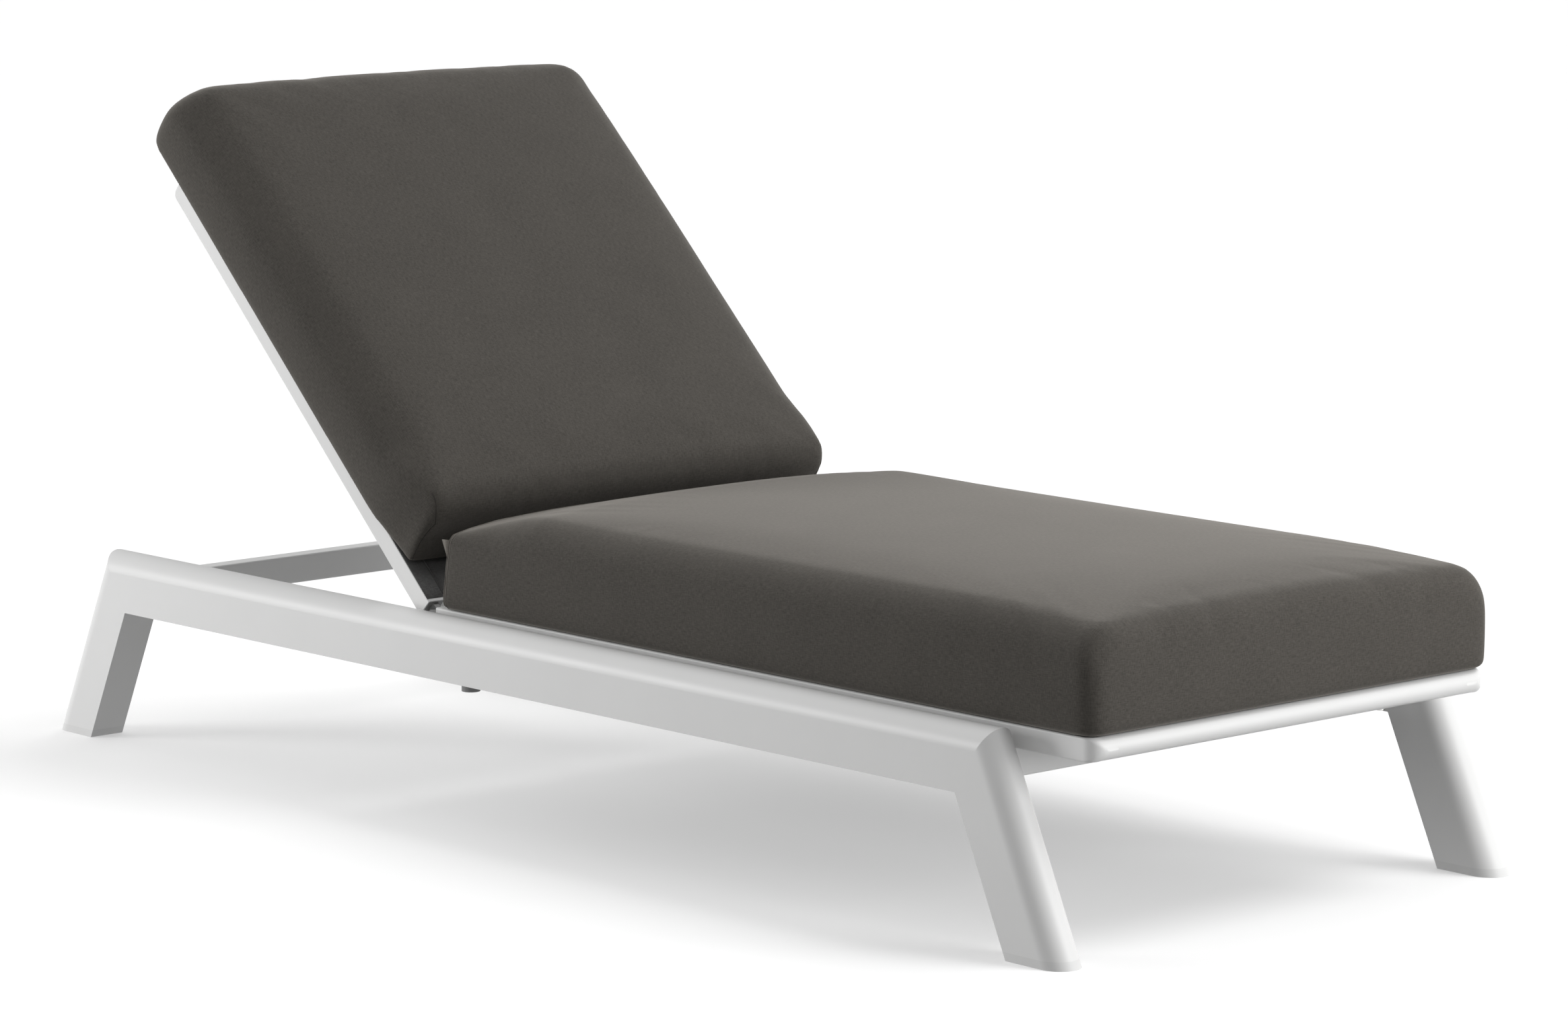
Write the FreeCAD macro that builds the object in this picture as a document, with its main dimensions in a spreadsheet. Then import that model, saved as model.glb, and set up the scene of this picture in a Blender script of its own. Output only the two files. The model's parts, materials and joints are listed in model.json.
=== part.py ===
import FreeCAD, Part
import Sketcher
import math
import os
import re

# Spa relaxation lounger: two welded side frames, a seat frame and a tilting back frame, each with
# a stretched panel and a thick cushion, and a locking gas spring that holds the back.
# The foot end is +X, the head end is -X, the sitter's left is +Y and the floor is Z = 0.

os.makedirs("parts", exist_ok=True)
doc = FreeCAD.newDocument("lounger")
sheet = doc.addObject("Spreadsheet::Sheet", "Sizes")

# Driving sizes in millimetres and degrees
SIZES = {
    # side frames
    "frame_width": 780,
    "side_thick": 52,
    "side_depth": 78,
    "side_wall": 3,
    "rail_top": 259,
    "corner_reach": 802.6,
    "splay": 24.9,
    # feet and transport wheels
    "cap_height": 10,
    "plug_height": 20,
    "fork_height": 54,
    "plug_slack": 0.1,
    "wheel_radius": 20,
    "wheel_width": 20,
    "wheel_room": 2,
    "wheel_proud": 4,
    "wheel_height": 26,
    "axle_radius": 4,
    "axle_bite": 5,
    # crossbars
    "bar_depth": 28,
    "bar_height": 38,
    "bar_wall": 2.5,
    "bar_inset": 6.6,
    "bar_round": 3,
    # seat frame and back frame
    "side_gap": 8,
    "seat_sink": 2,
    "frame_inset": 7,
    "tube": 28,
    "tube_wall": 2,
    "tube_round": 2.5,
    "seat_reach": 967.5,
    "end_corner": 20,
    "end_core": 16,
    "strut": 25,
    "strut_wall": 1.5,
    "strut_round": 2,
    "panel_thick": 1.2,
    "back_length": 742.5,
    "back_angle": 44,
    "upper_strut": 420,
    # back hinge
    "hinge_x": -225,
    "leaf_round": 9,
    "leaf_root": 38,
    "fork_leaf": 4,
    "tongue_leaf": 8,
    "hinge_washer": 1,
    "washer_radius": 8,
    "bush_wall": 1.5,
    "pin_radius": 4,
    "pin_head": 6.5,
    "pin_head_thick": 2.5,
    "running_gap": 0.05,
    # gas spring
    "spring_reach": 125,
    "spring_drop": 34,
    "spring_fold": 75,
    "cylinder_radius": 13,
    "cylinder_wall": 2.5,
    "cylinder_end": 136,
    "cylinder_start": 30,
    "shank_radius": 4.5,
    "gland_thick": 8,
    "rod_radius": 5,
    "rod_length": 117,
    "piston_thick": 8,
    "slide_gap": 0.2,
    "eye_radius": 9,
    "eye_width": 10,
    "eye_gap": 0.5,
    "cheek": 4,
    "cheek_round": 11,
    "foot_plate": 4,
    "foot_plate_width": 52,
    # release knob
    "knob_inset": 47,
    "knob_radius": 12,
    "knob_height": 16,
    "knob_drop": 43,
    "knob_round": 3,
    "guide_radius": 9,
    "guide_height": 20,
    "stem_radius": 5,
    "stem_length": 19,
    # bolts
    "bolt_radius": 3,
    "bolt_head": 6,
    "bolt_head_thick": 3.5,
    "bolt_grip": 5,
    "screw_radius": 2.5,
    "screw_head": 4.5,
    "screw_head_thick": 2.5,
    "screw_grip": 8,
    "screw_pitch": 36,
    # cushions
    "cushion_gap": 0.3,
    "seat_cushion_thick": 126,
    "back_cushion_thick": 118,
    "cushion_crown": 9,
    "seat_cushion_inset": 6,
    "back_cushion_inset": 1,
    "cushion_swell": 11,
    "cushion_waist": 5,
    "cushion_shoulder": 44,
    "cushion_end_round": 40,
    "cushion_corner": 16,
    "cushion_hem": 8,
    "cushion_droop_reach": 260,
    "seat_cushion_rear": -190,
    "seat_cushion_front": 962,
    "seat_rear_droop": 12,
    "seat_front_droop": 22,
    "back_cushion_low": 72,
    "back_cushion_high": 803,
    "back_end_droop": 8,
}

for row, (alias, number) in enumerate(SIZES.items(), start=1):
    sheet.set(f"A{row}", alias)
    sheet.set(f"B{row}", str(number))
    sheet.setAlias(f"B{row}", alias)
doc.recompute()


# Formulas

def bound(formula):
    """A formula with each sheet alias written the way an expression reads it."""
    return re.sub(r"[a-z_]+", lambda word: "Sizes." + word[0] if word[0] in SIZES else word[0], formula)


def value(formula):
    """The number that a formula gives with the sheet as it stands."""
    return float(sheet.evalExpression(bound(formula)))


RAIL_BOTTOM = "(rail_top - side_depth)"
RAIL_INNER = "(frame_width / 2 - side_thick)"
SIDE_MIDDLE = "(frame_width / 2 - side_thick / 2)"
MITRE = "((90 - splay) / 2)"
SEAT_BOTTOM = "(rail_top - seat_sink - tube)"
SEAT_TOP = f"({SEAT_BOTTOM} + tube)"
HINGE_Z = f"({SEAT_BOTTOM} + tube / 2)"
BAR_BOTTOM = f"({SEAT_BOTTOM} - bar_height)"
TUBE_OUTER = f"({RAIL_INNER} - side_gap)"
TUBE_INNER = f"({TUBE_OUTER} - tube)"
TUBE_MIDDLE = f"({TUBE_OUTER} - tube / 2)"
BAR_X = "(corner_reach - bar_inset)"
SEAT_REAR = "(hinge_x + tube / 2)"
MID_BAR_X = f"({SEAT_REAR} + frame_inset + bar_depth / 2)"
WHEEL_X = ("(corner_reach + (rail_top - side_depth - wheel_height) * tan(splay)"
           " + (side_depth - wheel_radius + wheel_proud) / cos(splay))")


# Frames of reference, as placement expressions

def placement(at=("0", "0", "0"), turn="0", axis=(0, 1, 0)):
    """A placement expression: a place, and a turn about an axis in degrees."""
    place = "; ".join(at)
    spin = "; ".join(str(part) for part in axis)
    return (f"create(<<placement>>; create(<<vector>>; {place});"
            f" create(<<rotation>>; create(<<vector>>; {spin}); {turn}))")


WORLD = placement()
HEAD_END = placement(turn="180", axis=(0, 0, 1))
CORNER = placement(("corner_reach", "0", RAIL_BOTTOM), MITRE)
LEG = placement(("corner_reach", "0", RAIL_BOTTOM), "90 - splay")
BACK = placement(("hinge_x", "0", HINGE_Z), "back_angle")
# The spring foot, the hinge and the spring head make a triangle with two equal sides, so the
# spring leans by half of what the back turns. Local +X runs from the foot to the head.
DROP_TURN = "(asin(spring_drop / spring_reach) / 1deg)"
FOOT_TURN = f"({DROP_TURN} + spring_fold)"
SPRING_FOOT_X = f"(hinge_x - spring_reach * cos({FOOT_TURN}))"
SPRING_FOOT_Z = f"({HINGE_Z} - spring_reach * sin({FOOT_TURN}))"
SPRING_HEAD_X = "sqrt(spring_reach ^ 2 - spring_drop ^ 2)"
SPRING_SPAN = "(2 * spring_reach * sin((spring_fold + back_angle) / 2))"
SPRING_LEAN = f"(-90 - ({FOOT_TURN} - back_angle + {DROP_TURN}) / 2)"
SPRING = placement((SPRING_FOOT_X, "0", SPRING_FOOT_Z), SPRING_LEAN)


def within(*frames):
    """Frames nested from the outermost to the innermost."""
    return " * ".join(frames)


# Building blocks

# How far a cutting solid runs past the face that it opens
PAST = "1"
LIE_ALONG = {"X": ((0, 1, 0), "90"), "Y": ((1, 0, 0), "-90"), "Z": ((0, 0, 1), "0")}


def make(kind, name, **formulas):
    """A document object with its properties bound to formulas."""
    item = doc.addObject(kind, name)
    for prop, formula in formulas.items():
        item.setExpression(prop, bound(formula))
    return item


def box(name, x, y, z, frame=WORLD):
    """A box from low to high formulas along each axis of a frame."""
    lows = tuple(pair[0] for pair in (x, y, z))
    spans = [f"({high}) - ({low})" for low, high in (x, y, z)]
    return make("Part::Box", name, Length=spans[0], Width=spans[1], Height=spans[2],
                Placement=within(frame, placement(lows)))


def rod(name, radius, start, length, axis="Z", frame=WORLD):
    """A round bar from a start point along an axis of a frame."""
    lie, turn = LIE_ALONG[axis]
    return make("Part::Cylinder", name, Radius=radius, Height=length,
                Placement=within(frame, placement(start, turn, lie)))


def cross_rod(name, radius, x, z, half, middle="0", frame=WORLD):
    """A round bar along Y, reaching as far to each side of its middle."""
    return rod(name, radius, (x, f"({middle}) - ({half})", z), f"2 * ({half})", "Y", frame)


def cut(name, base, *tools):
    """A solid less one or more others."""
    for number, tool in enumerate(tools, start=1):
        last = number == len(tools)
        item = doc.addObject("Part::Cut", name if last else f"{name}_cut_{number}")
        item.Base = base
        item.Tool = tool
        base = item
    return base


def fuse(name, *items):
    """Several solids made one."""
    item = doc.addObject("Part::MultiFuse", name)
    item.Shapes = list(items)
    item.Refine = True
    return item


def common(name, base, tool):
    """What two solids share."""
    item = doc.addObject("Part::Common", name)
    item.Base = base
    item.Tool = tool
    return item


def group(name, items):
    """Separate solids kept as one sub-part."""
    item = doc.addObject("Part::Compound", name)
    item.Links = list(items)
    return item


PARTS = {}


def part(label, item):
    """Names a finished sub-part. Its label is its file's name."""
    item.Label = label
    PARTS[label] = item
    return item


UNIT_BOX = Part.makeBox(1, 2, 3)


def rounded(name, block, radius, along):
    """A box with its four long edges rounded."""
    way = FreeCAD.Vector(*(1.0 if axis == along else 0.0 for axis in "XYZ"))
    edges = [number for number, edge in enumerate(UNIT_BOX.Edges, start=1)
             if abs(edge.tangentAt(0).dot(way)) > 0.99]
    item = doc.addObject("Part::Fillet", name)
    item.Base = block
    item.Edges = [(number, value(radius), value(radius)) for number in edges]
    return item


def shrunk(pair, wall, closed):
    """A span with a wall taken off each end, or an open one run past both ends."""
    low, high = pair
    if closed:
        return (f"({low}) + {wall}", f"({high}) - {wall}")
    return (f"({low}) - {PAST}", f"({high}) + {PAST}")


def square_tube(name, x, y, z, wall, radius, along, frame=WORLD):
    """A rectangular tube with open ends along one axis."""
    spans = {"X": x, "Y": y, "Z": z}
    outer = rounded(f"{name}_round", box(f"{name}_outer", x, y, z, frame), radius, along)
    bore = [shrunk(spans[axis], wall, axis != along) for axis in "XYZ"]
    return cut(f"{name}_tube", outer, box(f"{name}_bore", *bore, frame))


def bullnose(name, x, inset, middle, frame):
    """A bar with a flat edge at local Z = 0 and a half-round edge at the side depth."""
    half = f"(side_thick / 2 - {inset})"
    nose_z = "(side_depth - side_thick / 2)"
    flat = box(f"{name}_flat", x, (f"{middle} - {half}", f"{middle} + {half}"), (inset, nose_z), frame)
    nose = rod(f"{name}_nose", half, (x[0], middle, nose_z), f"({x[1]}) - ({x[0]})", "X", frame)
    return fuse(f"{name}_bar", flat, nose)


# Side frames

SIDES = {"right": "-1", "left": "1"}
ENDS = {"front": (), "rear": (HEAD_END,)}
FAR = "(side_depth * 2)"
LEG_LENGTH = f"({RAIL_BOTTOM} / cos(splay) + side_depth)"
AXLE_HALF = "(wheel_width / 2 + wheel_room + axle_bite)"


def mitre_block(name, end, beyond):
    """A block on one side of the plane where a rail and a leg meet."""
    x = ("0", FAR) if beyond else (f"-{FAR}", "0")
    width = ("-frame_width", "frame_width")
    return box(name, x, width, (f"-{FAR}", FAR), within(*ENDS[end], CORNER))


def floor_block(name, low, high):
    """A wide slab between two heights."""
    return box(name, ("-2 * seat_reach", "2 * seat_reach"), ("-frame_width", "frame_width"), (low, high))


def side_rail(side, sign):
    """The long top bar of a side frame, mitred at both ends."""
    name = f"{side}_rail"
    reach = "(corner_reach + side_depth)"
    frame = placement(("0", "0", RAIL_BOTTOM))
    middle = f"({sign} * {SIDE_MIDDLE})"
    outer = bullnose(f"{name}_outer", (f"-{reach}", reach), "0", middle, frame)
    bore = bullnose(f"{name}_bore", (f"-{reach} - {PAST}", f"{reach} + {PAST}"), "side_wall", middle, frame)
    mitres = [mitre_block(f"{name}_{end}_mitre", end, beyond=True) for end in ENDS]
    part(name, cut(name, outer, bore, *mitres))


def wheel_space(name, middle, grow="wheel_room"):
    """The round pocket that a wheel turns in."""
    return cross_rod(name, f"wheel_radius + {grow}", f"-{WHEEL_X}", "wheel_height",
                     f"wheel_width / 2 + {grow}", middle)


def side_leg(side, sign, end):
    """A splayed leg, mitred at the top and level at the foot."""
    name = f"{side}_{end}_leg"
    frame = within(*ENDS[end], LEG)
    turned = f"-1 * {sign}" if end == "rear" else sign
    middle = f"({turned} * {SIDE_MIDDLE})"
    outer = bullnose(f"{name}_outer", ("-side_depth", LEG_LENGTH), "0", middle, frame)
    bore_span = (f"-side_depth - {PAST}", f"{LEG_LENGTH} + {PAST}")
    bore = bullnose(f"{name}_bore", bore_span, "side_wall", middle, frame)
    tools = [bore, mitre_block(f"{name}_mitre", end, beyond=False),
             floor_block(f"{name}_floor", "-side_depth", "cap_height")]
    if end == "rear":
        tools.append(wheel_space(f"{name}_pocket", f"({sign} * {SIDE_MIDDLE})"))
    part(name, cut(name, outer, *tools))


def foot_cap(side, sign, end):
    """A moulded foot with a plug inside the leg. The rear one holds a wheel."""
    name = f"{side}_{end}_foot"
    frame = within(*ENDS[end], LEG)
    turned = f"-1 * {sign}" if end == "rear" else sign
    middle = f"({turned} * {SIDE_MIDDLE})"
    plug_top = "fork_height" if end == "rear" else "(cap_height + plug_height)"
    span = ("0", LEG_LENGTH)
    sole = common(f"{name}_sole", bullnose(f"{name}_sole_bar", span, "0", middle, frame),
                  floor_block(f"{name}_sole_slab", "0", "cap_height"))
    plug = common(f"{name}_plug", bullnose(f"{name}_plug_bar", span, "(side_wall + plug_slack)", middle, frame),
                  floor_block(f"{name}_plug_slab", "cap_height / 2", plug_top))
    solid = fuse(f"{name}_solid", sole, plug)
    if end == "rear":
        side_middle = f"({sign} * {SIDE_MIDDLE})"
        axle_hole = cross_rod(f"{name}_axle_hole", "axle_radius", f"-{WHEEL_X}", "wheel_height",
                              AXLE_HALF, side_middle)
        solid = cut(name, solid, wheel_space(f"{name}_pocket", side_middle), axle_hole)
    part(name, solid)


def wheel(side, sign):
    """A small transport wheel in the back of a rear leg, with its axle."""
    middle = f"({sign} * {SIDE_MIDDLE})"
    at = (f"-{WHEEL_X}", "wheel_height")
    tread = cross_rod(f"{side}_wheel_tread", "wheel_radius", *at, "wheel_width / 2 - wheel_room", middle)
    body = cross_rod(f"{side}_wheel_body", "wheel_radius - wheel_room", *at, "wheel_width / 2", middle)
    bore = cross_rod(f"{side}_wheel_bore", "axle_radius + running_gap", *at, "wheel_width", middle)
    part(f"{side}_wheel", cut(f"{side}_wheel", fuse(f"{side}_wheel_solid", tread, body), bore))
    part(f"{side}_wheel_axle", cross_rod(f"{side}_wheel_axle", "axle_radius", *at, AXLE_HALF, middle))


for side, sign in SIDES.items():
    side_rail(side, sign)
    for end in ENDS:
        side_leg(side, sign, end)
        foot_cap(side, sign, end)
    wheel(side, sign)


# Crossbars, and the bolts that hold the seat frame down on them

BARS = {"front": (f"{BAR_X}", f"{BAR_X} + bar_depth"),
        "middle": (f"{MID_BAR_X} - bar_depth / 2", f"{MID_BAR_X} + bar_depth / 2"),
        "rear": (f"-{BAR_X} - bar_depth", f"-{BAR_X}")}
BOLT_PLACES = [(bar, sign) for bar in ("front", "middle") for sign in SIDES.values()]


def bar_middle(bar):
    """The middle of a crossbar along X."""
    low, high = BARS[bar]
    return f"(({low} + {high}) / 2)"


def bolt_shank(name, bar, sign):
    """The shank of a bolt up through a crossbar into a seat tube."""
    start = (bar_middle(bar), f"({sign} * {TUBE_MIDDLE})", BAR_BOTTOM)
    return rod(name, "bolt_radius", start, "bar_height + bolt_grip")


def bolt_head(name, bar, sign):
    """The low round head of a bolt under a crossbar."""
    start = (bar_middle(bar), f"({sign} * {TUBE_MIDDLE})", f"({BAR_BOTTOM} - bolt_head_thick)")
    return rod(name, "bolt_head", start, "bolt_head_thick")


def screw_places(x, z):
    """Where the two screws of a spring bracket stand."""
    return [(x, f"({sign} * screw_pitch / 2)", z) for sign in SIDES.values()]


def spring_screws(name, x, z, frame=WORLD):
    """Two screws up into a tube, with their heads under a foot plate."""
    screws = []
    for number, (px, py, pz) in enumerate(screw_places(x, z), start=1):
        shank = rod(f"{name}_shank_{number}", "screw_radius", (px, py, f"({pz} - foot_plate)"),
                    "foot_plate + screw_grip", "Z", frame)
        head = rod(f"{name}_head_{number}", "screw_head", (px, py, f"({pz} - foot_plate - screw_head_thick)"),
                   "screw_head_thick", "Z", frame)
        screws.append(fuse(f"{name}_{number}", shank, head))
    return group(name, screws)


def screw_holes(name, x, z, frame=WORLD):
    """The holes that the two screws of a spring bracket go through."""
    holes = [rod(f"{name}_{number}", "screw_radius", (px, py, f"({pz} - foot_plate)"),
                 "foot_plate + screw_grip", "Z", frame)
             for number, (px, py, pz) in enumerate(screw_places(x, z), start=1)]
    return group(name, holes)


for bar, span in BARS.items():
    name = f"{bar}_crossbar"
    width = (f"-{RAIL_INNER}", RAIL_INNER)
    height = (BAR_BOTTOM, SEAT_BOTTOM)
    body = square_tube(name, span, width, height, "bar_wall", "bar_round", "Y")
    holes = [bolt_shank(f"{name}_hole_{number}", *place)
             for number, place in enumerate(BOLT_PLACES) if place[0] == bar]
    if bar == "middle":
        holes.append(screw_holes(f"{name}_screw_holes", bar_middle(bar), BAR_BOTTOM))
    part(name, cut(name, body, *holes) if holes else body)

bolts = [fuse(f"bolt_{number}", bolt_shank(f"bolt_{number}_shank", *place),
              bolt_head(f"bolt_{number}_head", *place))
         for number, place in enumerate(BOLT_PLACES, start=1)]
part("seat_frame_bolts", group("seat_frame_bolts", bolts))


# Seat frame and back frame, which share one section and one end rail

FULL = ("-tube / 2", "tube / 2")
LOW = ("-tube / 2", "-tube / 2 + strut")
SEAT = placement(("0", "0", HINGE_Z))
BACK_OUTWARD = within(BACK, HEAD_END)
INSIDE = (f"-{TUBE_INNER}", TUBE_INNER)


def side_tube(name, x, sign, frame, holes=()):
    """One long square tube of a frame."""
    near, far = f"({sign} * {TUBE_MIDDLE}) - tube / 2", f"({sign} * {TUBE_MIDDLE}) + tube / 2"
    body = square_tube(name, x, (near, far), FULL, "tube_wall", "tube_round", "X", frame)
    part(name, cut(name, body, *holes) if holes else body)


def corner_sketch(name):
    """Half of the end rail's section, from the corner's axis out to the nose."""
    radius = value("tube / 2")
    flat = value("end_corner - tube / 2")
    sketch = doc.addObject("Sketcher::SketchObject", name)
    sketch.Placement = FreeCAD.Placement(FreeCAD.Vector(), FreeCAD.Rotation(FreeCAD.Vector(1, 0, 0), 90))
    corners = [(flat, radius), (0, radius), (0, -radius), (flat, -radius)]
    for (x1, y1), (x2, y2) in zip(corners, corners[1:]):
        sketch.addGeometry(Part.LineSegment(FreeCAD.Vector(x1, y1, 0), FreeCAD.Vector(x2, y2, 0)))
    circle = Part.Circle(FreeCAD.Vector(flat, 0, 0), FreeCAD.Vector(0, 0, 1), radius)
    sketch.addGeometry(Part.ArcOfCircle(circle, -math.pi / 2, math.pi / 2))
    top, axis, bottom, nose = range(4)
    start, end, origin, upright = 1, 2, -1, -2
    sketch.addConstraint([
        Sketcher.Constraint("Coincident", top, end, axis, start),
        Sketcher.Constraint("Coincident", axis, end, bottom, start),
        Sketcher.Constraint("Tangent", bottom, end, nose, start),
        Sketcher.Constraint("Tangent", nose, end, top, start),
        Sketcher.Constraint("PointOnObject", axis, start, upright),
        Sketcher.Constraint("Symmetric", axis, start, axis, end, origin, start),
        Sketcher.Constraint("Horizontal", top),
        Sketcher.Constraint("Horizontal", bottom)])
    height = sketch.addConstraint(Sketcher.Constraint("DistanceY", axis, end, axis, start, 2 * radius))
    reach = sketch.addConstraint(Sketcher.Constraint("DistanceX", bottom, start, bottom, end, flat))
    sketch.setExpression(f"Constraints[{height}]", bound("tube"))
    sketch.setExpression(f"Constraints[{reach}]", bound("end_corner - tube / 2"))
    return sketch


def end_corner(name, reach, sign, frame):
    """A quarter turn of the end rail's section about an upright axis."""
    turn = doc.addObject("Part::Revolution", f"{name}_turn")
    turn.Source = corner_sketch(f"{name}_section")
    turn.Axis = FreeCAD.Vector(0, 0, 1)
    turn.Angle = 90 * int(sign)
    turn.Solid = True
    at = (f"({reach} - end_corner)", f"({sign} * ({TUBE_OUTER} - end_corner))", "0")
    turn.setExpression("Placement", bound(within(frame, placement(at))))
    return turn


def tube_seat(name, reach, sign, frame):
    """The block of space that the end of a side tube takes beside an end rail."""
    across = [f"({sign} * {TUBE_MIDDLE}) - tube / 2", f"({sign} * {TUBE_MIDDLE}) + tube / 2"]
    return box(name, (f"{reach} - end_corner - tube", f"{reach} - end_corner"), across,
               (f"-tube / 2 - {PAST}", f"tube / 2 + {PAST}"), frame)


def end_rail(name, reach, frame):
    """The rail across the end of a frame: a half-round nose with rounded corners in plan."""
    nose_x = f"({reach} - tube / 2)"
    back_x = f"({reach} - end_corner)"
    half = f"({TUBE_OUTER} - end_corner)"
    core = box(f"{name}_core", (f"{back_x} - end_core", back_x), INSIDE, FULL, frame)
    strip = box(f"{name}_strip", (back_x, nose_x), (f"-{half}", half), FULL, frame)
    nose = cross_rod(f"{name}_nose", "tube / 2", nose_x, "0", half, "0", frame)
    corners = [end_corner(f"{name}_{side}", reach, sign, frame) for side, sign in SIDES.items()]
    solid = fuse(f"{name}_solid", core, strip, nose, *corners)
    bore_half = f"({TUBE_INNER} - tube_wall)"
    bore = cross_rod(f"{name}_bore", "tube / 2 - tube_wall", nose_x, "0", bore_half, "0", frame)
    seats = [tube_seat(f"{name}_{side}_seat", reach, sign, frame) for side, sign in SIDES.items()]
    part(name, cut(name, solid, bore, *seats))


def cross_strut(name, low, frame, holes=()):
    """A lower square tube across a frame, under its panel."""
    span = (low, f"{low} + strut")
    body = square_tube(name, span, INSIDE, LOW, "strut_wall", "strut_round", "Y", frame)
    part(name, cut(name, body, *holes) if holes else body)


def panel(name, span, frame):
    """The fabric stretched across a frame, on top of its struts."""
    part(name, box(name, span, INSIDE, (LOW[1], f"{LOW[1]} + panel_thick"), frame))


SEAT_END = "(seat_reach - end_corner)"
SEAT_START = f"({SEAT_REAR} + frame_inset)"
SEAT_STRUTS = 4
STRUT_STEP = f"((({SEAT_END} - end_core) - {SEAT_START}) / {SEAT_STRUTS})"
BACK_END = "(back_length - end_corner)"
BACK_START = "(tube / 2 + frame_inset)"
HEAD_SCREWS = (SPRING_HEAD_X, "(-tube / 2)")

for side, sign in SIDES.items():
    holes = [bolt_shank(f"{side}_seat_tube_{bar}_hole", bar, sign) for bar in ("front", "middle")]
    side_tube(f"{side}_seat_tube", (SEAT_REAR, SEAT_END), sign, SEAT, holes)
end_rail("seat_front_rail", "seat_reach", SEAT)
for number in range(SEAT_STRUTS):
    label = f"seat_strut_{number}" if number else "seat_rear_tube"
    cross_strut(label, f"({SEAT_START} + {number} * {STRUT_STEP})", SEAT)
panel("seat_panel", (SEAT_START, f"({SEAT_END} - end_core)"), SEAT)

for side, sign in SIDES.items():
    side_tube(f"{side}_back_tube", ("tube / 2", BACK_END), f"-1 * {sign}", BACK_OUTWARD)
end_rail("back_top_rail", "back_length", BACK_OUTWARD)
cross_strut("back_lower_tube", BACK_START, BACK_OUTWARD)
cross_strut("back_spring_strut", f"({SPRING_HEAD_X} - strut / 2)", BACK_OUTWARD,
            [screw_holes("back_strut_screw_holes", *HEAD_SCREWS, BACK_OUTWARD)])
cross_strut("back_upper_strut", "upper_strut", BACK_OUTWARD)
panel("back_panel", (BACK_START, f"({BACK_END} - end_core)"), BACK_OUTWARD)


# Back hinge: a fork in each seat tube, a tongue in each back tube, and a pin through both

LEAF = ("-leaf_round", "leaf_round")
PLUG = "(tube / 2 - tube_wall)"
FORK_IN = "(tongue_leaf / 2 + hinge_washer)"
FORK_OUT = f"({FORK_IN} + fork_leaf)"
BUSH_IN = "(pin_radius + running_gap)"
BUSH_OUT = f"({BUSH_IN} + bush_wall)"


def about(middle, low, high):
    """A span about a middle line."""
    return (f"({middle}) + ({low})", f"({middle}) + ({high})")


def leaf(name, hinge, reach, across, frame):
    """A hinge leaf: a flat bar with a round end about the hinge axis."""
    flat = box(f"{name}_flat", (hinge, reach), across, LEAF, frame)
    end = rod(f"{name}_end", "leaf_round", (hinge, across[0], "0"), f"({across[1]}) - ({across[0]})",
              "Y", frame)
    return [flat, end]


def hinge_fork(side, sign):
    """Two cheeks on a plug that is fixed inside the end of a seat tube."""
    name = f"{side}_hinge_fork"
    middle = f"({sign} * {TUBE_MIDDLE})"
    plug = box(f"{name}_plug", (SEAT_REAR, f"{SEAT_REAR} + leaf_root"),
               about(middle, f"-{PLUG}", PLUG), (f"-{PLUG}", PLUG), SEAT)
    outer = about(middle, FORK_IN, FORK_OUT)
    inner = about(middle, f"-{FORK_OUT}", f"-{FORK_IN}")
    cheeks = (leaf(f"{name}_outer", "hinge_x", SEAT_REAR, outer, SEAT)
              + leaf(f"{name}_inner", "hinge_x", SEAT_REAR, inner, SEAT))
    hole = cross_rod(f"{name}_hole", "pin_radius", "hinge_x", "0", "tube", middle, SEAT)
    bolt = bolt_shank(f"{name}_bolt", "middle", sign)
    part(name, cut(name, fuse(f"{name}_solid", plug, *cheeks), hole, bolt))


def hinge_tongue(side, sign):
    """One leaf on a plug that is fixed inside the end of a back tube, with a bush."""
    name = f"{side}_hinge_tongue"
    middle = f"(-1 * {sign} * {TUBE_MIDDLE})"
    plug = box(f"{name}_plug", ("tube / 2", "tube / 2 + leaf_root"),
               about(middle, f"-{PLUG}", PLUG), (f"-{PLUG}", PLUG), BACK_OUTWARD)
    blade = leaf(f"{name}_blade", "0", "tube / 2", about(middle, "-tongue_leaf / 2", "tongue_leaf / 2"),
                 BACK_OUTWARD)
    hole = cross_rod(f"{name}_hole", BUSH_OUT, "0", "0", "tube", middle, BACK_OUTWARD)
    part(name, cut(name, fuse(f"{name}_solid", plug, *blade), hole))
    shell = cross_rod(f"{side}_bush_shell", BUSH_OUT, "0", "0", "tongue_leaf / 2", middle, BACK_OUTWARD)
    bore = cross_rod(f"{side}_bush_bore", BUSH_IN, "0", "0", "tongue_leaf", middle, BACK_OUTWARD)
    part(f"{side}_hinge_bush", cut(f"{side}_hinge_bush", shell, bore))


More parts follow.
